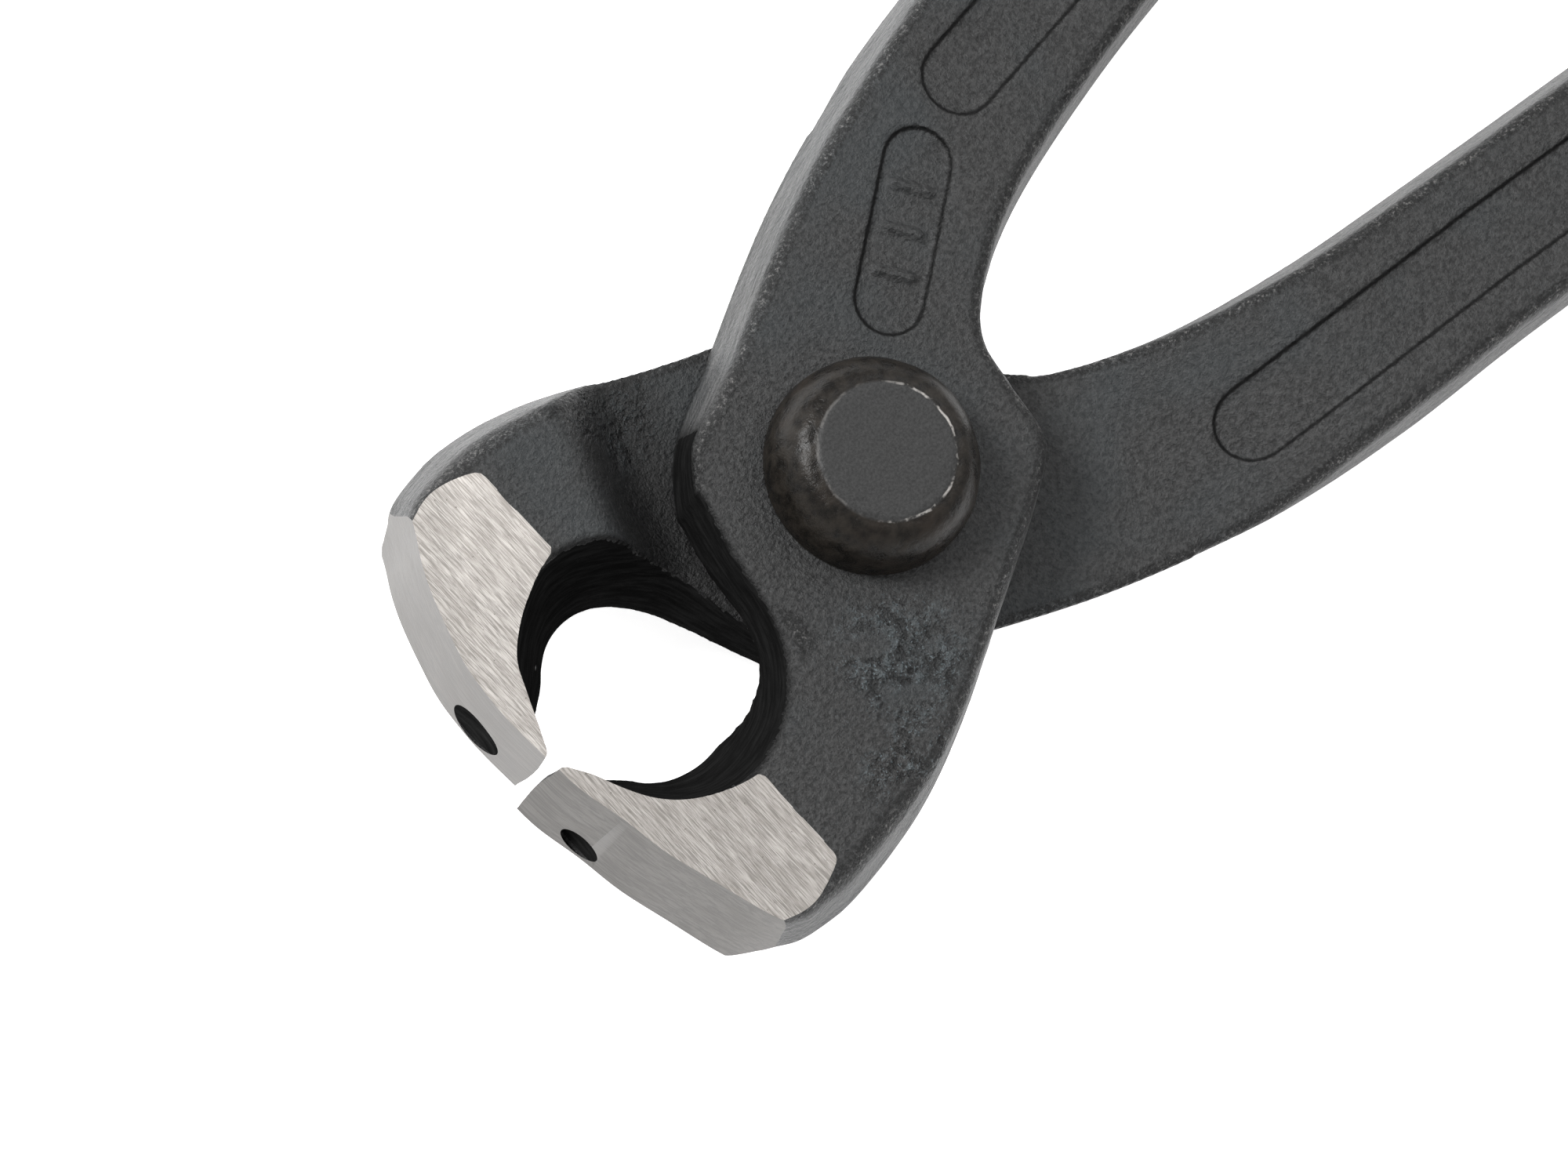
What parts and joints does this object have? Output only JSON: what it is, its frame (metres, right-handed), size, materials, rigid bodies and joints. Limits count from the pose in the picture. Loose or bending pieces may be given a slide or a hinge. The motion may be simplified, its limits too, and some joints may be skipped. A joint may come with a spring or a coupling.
{
  "type": "ear clamp pincers",
  "caption": "Forged pincers with crossed levers on a domed rivet, a hooked jaw with ground nose and throat, and long recessed handles.",
  "frame": {"origin": "centre of the flat on the rear rivet head, which the tool rests on", "axes": "+X from the rivet towards the jaw tips, +Z along the rivet from the rear head to the front head"},
  "size_m": [0.216, 0.0696, 0.02],
  "materials": {
    "forged_black": "drop-forged steel with a black oxide skin, the nose ground bright",
    "rivet_black": "black oxide steel, formed heads worn bright at the edge of the flat"
  },
  "bodies": {
    "rear": {"rear_lever": "forged_black", "rivet": "rivet_black"},
    "front": {"front_lever": "forged_black"}
  },
  "joints": [
    {"name": "jaw_pivot", "type": "hinge", "parent": "rear", "child": "front", "pos_m": [0, 0, 0.01], "axis": [0, 0, 1], "range_deg": [-1.2, 30]}
  ]
}
